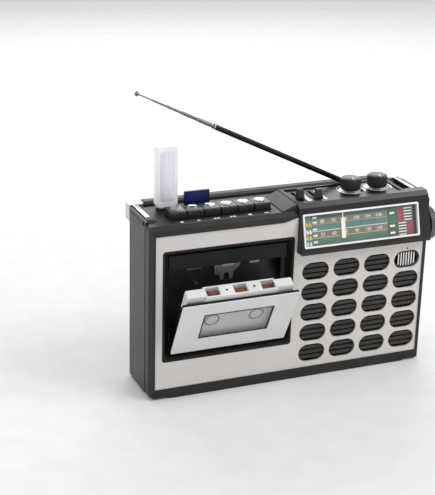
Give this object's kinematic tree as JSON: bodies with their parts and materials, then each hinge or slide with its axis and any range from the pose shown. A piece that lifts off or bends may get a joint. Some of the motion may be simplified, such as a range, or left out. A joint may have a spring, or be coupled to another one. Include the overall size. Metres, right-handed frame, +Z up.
{
  "type": "cassette player",
  "caption": "Portable cassette recorder with radio: open cassette door, piano keys, tuning dial, telescopic antenna, fold-back handle and speaker grille.",
  "frame": {"origin": "on the plane it stands on, at mid width, directly under the face of the front plate", "axes": "+X to the right as seen from the front, +Y to the rear, +Z up"},
  "size_m": [0.282, 0.1015, 0.2713],
  "materials": {
    "black_abs": "fine moulded texture",
    "side_abs": "moulded texture, satin",
    "plate": "fine speckled satin lacquer",
    "grille_abs": "moulded",
    "silver_trim": "brushed",
    "steel": "stamped",
    "chrome": "polished",
    "white_abs": "gloss",
    "door_white": "satin pearl",
    "clear": "clear acrylic",
    "dial_print": "printed sheet",
    "key_abs": "satin",
    "usb_white": "gloss",
    "card_blue": "satin",
    "tape": "wound tape",
    "rubber": "matt",
    "board": "solder mask",
    "iron": "laminated"
  },
  "bodies": {
    "cabinet": {"front_bezel": "black_abs", "front_plate": "plate", "speaker_grille": "grille_abs", "mic_grille": "silver_trim", "speaker": "iron", "bay_frame": "black_abs", "mech_chassis": "steel", "top_deck": "black_abs", "tuner_deck": "black_abs", "control_plate": "silver_trim", "dial_housing": "black_abs", "dial_frame": "white_abs", "dial_lens": "clear", "dial_scale": "dial_print", "rear_cabinet": "side_abs", "ac_inlet": "black_abs", "power_transformer": "iron", "main_board": "board", "panel_controls": "steel", "media_reader": "steel", "motor": "steel", "case_screws": "steel", "foot_strips": "rubber", "key_axle": "steel"},
    "handle": {"handle_arms": "black_abs", "handle_corners": "silver_trim", "handle_grip": "black_abs"},
    "antenna_swivel": {"antenna_base": "chrome"},
    "antenna_mast": {"antenna_tube": "chrome"},
    "antenna_part_1": {"antenna_stage_1": "chrome"},
    "antenna_part_2": {"antenna_stage_2": "chrome"},
    "antenna_part_3": {"antenna_stage_3": "chrome"},
    "antenna_part_4": {"antenna_stage_4": "chrome"},
    "antenna_part_5": {"antenna_stage_5": "chrome"},
    "volume_knob": {"volume_knob": "black_abs"},
    "tone_knob": {"tone_knob": "black_abs"},
    "function_lever": {"function_lever": "key_abs"},
    "band_lever": {"band_lever": "key_abs"},
    "tuning_wheel": {"tuning_wheel": "black_abs"},
    "dial_pointer": {"dial_pointer": "white_abs"},
    "record_key": {"record_key": "key_abs"},
    "play_key": {"play_key": "key_abs"},
    "rewind_key": {"rewind_key": "key_abs"},
    "forward_key": {"forward_key": "key_abs"},
    "stop_key": {"stop_key": "key_abs"},
    "pause_key": {"pause_key": "key_abs"},
    "cassette_door": {"door_carrier": "black_abs", "door_panel": "door_white", "door_window": "clear"},
    "cassette": {"cassette_shell": "white_abs"},
    "left_reel": {"left_reel": "tape"},
    "right_reel": {"right_reel": "tape"},
    "usb_stick": {"usb_stick": "usb_white"},
    "sd_card": {"sd_card": "card_blue"},
    "head_plate": {"head_plate": "steel"},
    "pinch_roller": {"pinch_roller": "rubber"},
    "capstan_flywheel": {"capstan_flywheel": "steel"},
    "supply_spindle": {"supply_spindle": "white_abs"},
    "take_up_spindle": {"take_up_spindle": "white_abs"},
    "battery_door": {"battery_door": "side_abs"}
  },
  "joints": [
    {"name": "handle_swing", "type": "hinge", "parent": "cabinet", "child": "handle", "pos_m": [0, 0.018, 0.1625], "axis": [1, 0, 0], "range_deg": [0, 25]},
    {"name": "antenna_turn", "type": "hinge", "parent": "cabinet", "child": "antenna_swivel", "pos_m": [0.0744, 0.0515, 0.1635], "axis": [0, 0, -1], "range_deg": [0, 180]},
    {"name": "antenna_tilt", "type": "hinge", "parent": "antenna_swivel", "child": "antenna_mast", "pos_m": [0.0744, 0.0515, 0.1684], "axis": [0, 1, 0], "range_deg": [-23, 64.1]},
    {"name": "antenna_draw_1", "type": "slide", "parent": "antenna_mast", "child": "antenna_part_1", "axis": [-0.8996, 0, 0.4368], "range_m": [-0.0169, 0.1066]},
    {"name": "antenna_draw_2", "type": "slide", "parent": "antenna_part_1", "child": "antenna_part_2", "axis": [-0.8996, 0, 0.4368], "range_m": [-0.0154, 0.1041]},
    {"name": "antenna_draw_3", "type": "slide", "parent": "antenna_part_2", "child": "antenna_part_3", "axis": [-0.8996, 0, 0.4368], "range_m": [-0.0158, 0.0997]},
    {"name": "antenna_draw_4", "type": "slide", "parent": "antenna_part_3", "child": "antenna_part_4", "axis": [-0.8996, 0, 0.4368], "range_m": [-0.0143, 0.0972]},
    {"name": "antenna_draw_5", "type": "slide", "parent": "antenna_part_4", "child": "antenna_part_5", "axis": [-0.8996, 0, 0.4368], "range_m": [-0.0135, 0.094]},
    {"name": "volume_turn", "type": "hinge", "parent": "cabinet", "child": "volume_knob", "pos_m": [0.0675, 0.0285, 0.17], "axis": [0, 0, -1], "range_deg": [-120, 150]},
    {"name": "tone_turn", "type": "hinge", "parent": "cabinet", "child": "tone_knob", "pos_m": [0.0955, 0.0295, 0.17], "axis": [0, 0, -1], "range_deg": [-150, 120]},
    {"name": "function_slide", "type": "slide", "parent": "cabinet", "child": "function_lever", "axis": [0, 1, 0], "range_m": [-0.005, 0.014]},
    {"name": "band_slide", "type": "slide", "parent": "cabinet", "child": "band_lever", "axis": [0, 1, 0], "range_m": [-0.001, 0.018]},
    {"name": "tuning_turn", "type": "hinge", "parent": "cabinet", "child": "tuning_wheel", "pos_m": [0.14, 0.0105, 0.135], "axis": [1, 0, 0], "range_deg": [-322, 687]},
    {"name": "pointer_travel", "type": "slide", "parent": "cabinet", "child": "dial_pointer", "axis": [1, 0, 0], "range_m": [-0.0312, 0.0662]},
    {"name": "record_press", "type": "hinge", "parent": "cabinet", "child": "record_key", "pos_m": [-0.1055, 0.046, 0.1405], "axis": [1, 0, 0], "range_deg": [0, 6], "stiffness_Nm_per_rad": 0.3, "springref_deg": -1.72},
    {"name": "play_press", "type": "hinge", "parent": "cabinet", "child": "play_key", "pos_m": [-0.0895, 0.046, 0.1405], "axis": [1, 0, 0], "range_deg": [0, 6], "stiffness_Nm_per_rad": 0.3, "springref_deg": -1.72},
    {"name": "rewind_press", "type": "hinge", "parent": "cabinet", "child": "rewind_key", "pos_m": [-0.0735, 0.046, 0.1405], "axis": [1, 0, 0], "range_deg": [0, 6], "stiffness_Nm_per_rad": 0.3, "springref_deg": -1.72},
    {"name": "forward_press", "type": "hinge", "parent": "cabinet", "child": "forward_key", "pos_m": [-0.0575, 0.046, 0.1405], "axis": [1, 0, 0], "range_deg": [0, 6], "stiffness_Nm_per_rad": 0.3, "springref_deg": -1.72},
    {"name": "stop_press", "type": "hinge", "parent": "cabinet", "child": "stop_key", "pos_m": [-0.0415, 0.046, 0.1405], "axis": [1, 0, 0], "range_deg": [0, 6], "stiffness_Nm_per_rad": 0.3, "springref_deg": -1.72},
    {"name": "pause_press", "type": "hinge", "parent": "cabinet", "child": "pause_key", "pos_m": [-0.0255, 0.046, 0.1405], "axis": [1, 0, 0], "range_deg": [0, 6], "stiffness_Nm_per_rad": 0.3, "springref_deg": -1.72},
    {"name": "door_swing", "type": "hinge", "parent": "cabinet", "child": "cassette_door", "pos_m": [-0.0623, 0.008, 0.046], "axis": [1, 0, 0], "range_deg": [-28.1, 0]},
    {"name": "cassette_lift", "type": "slide", "parent": "cassette_door", "child": "cassette", "axis": [0, -0.471, 0.8821], "range_m": [0, 0.07]},
    {"name": "left_reel_turn", "type": "hinge", "parent": "cassette", "child": "left_reel", "pos_m": [-0.08355, -0.00684, 0.07821], "axis": [0, -0.8821, -0.471], "continuous": true},
    {"name": "right_reel_turn", "type": "hinge", "parent": "cassette", "child": "right_reel", "pos_m": [-0.04105, -0.00684, 0.07821], "axis": [0, -0.8821, -0.471], "continuous": true},
    {"name": "usb_pull", "type": "slide", "parent": "cabinet", "child": "usb_stick", "axis": [0, 0, 1], "range_m": [0, 0.02]},
    {"name": "card_pull", "type": "slide", "parent": "cabinet", "child": "sd_card", "axis": [0, 0, 1], "range_m": [0, 0.024]},
    {"name": "head_engage", "type": "slide", "parent": "cabinet", "child": "head_plate", "axis": [0, 0, -1], "range_m": [0, 0.0061], "stiffness_N_per_m": 8, "springref_m": -0.02},
    {"name": "pinch_turn", "type": "hinge", "parent": "head_plate", "child": "pinch_roller", "pos_m": [-0.0883, 0.0115, 0.1244], "axis": [0, 1, 0], "continuous": true},
    {"name": "capstan_turn", "type": "hinge", "parent": "cabinet", "child": "capstan_flywheel", "pos_m": [-0.092, 0.02, 0.1055], "axis": [0, 1, 0], "continuous": true},
    {"name": "supply_turn", "type": "hinge", "parent": "cabinet", "child": "supply_spindle", "pos_m": [-0.08355, 0.02, 0.0814], "axis": [0, 1, 0], "continuous": true},
    {"name": "take_up_turn", "type": "hinge", "parent": "cabinet", "child": "take_up_spindle", "pos_m": [-0.04105, 0.02, 0.0814], "axis": [0, 1, 0], "continuous": true},
    {"name": "battery_door_swing", "type": "hinge", "parent": "cabinet", "child": "battery_door", "pos_m": [-0.066, 0.055, 0.0106], "axis": [-1, 0, 0], "range_deg": [0, 80]}
  ],
  "couplings": [
    {"joint": "pointer_travel", "follows": "tuning_turn", "m_per_rad": 0.0055},
    {"joint": "head_engage", "follows": "play_press", "m_per_rad": 0.057296}
  ]
}
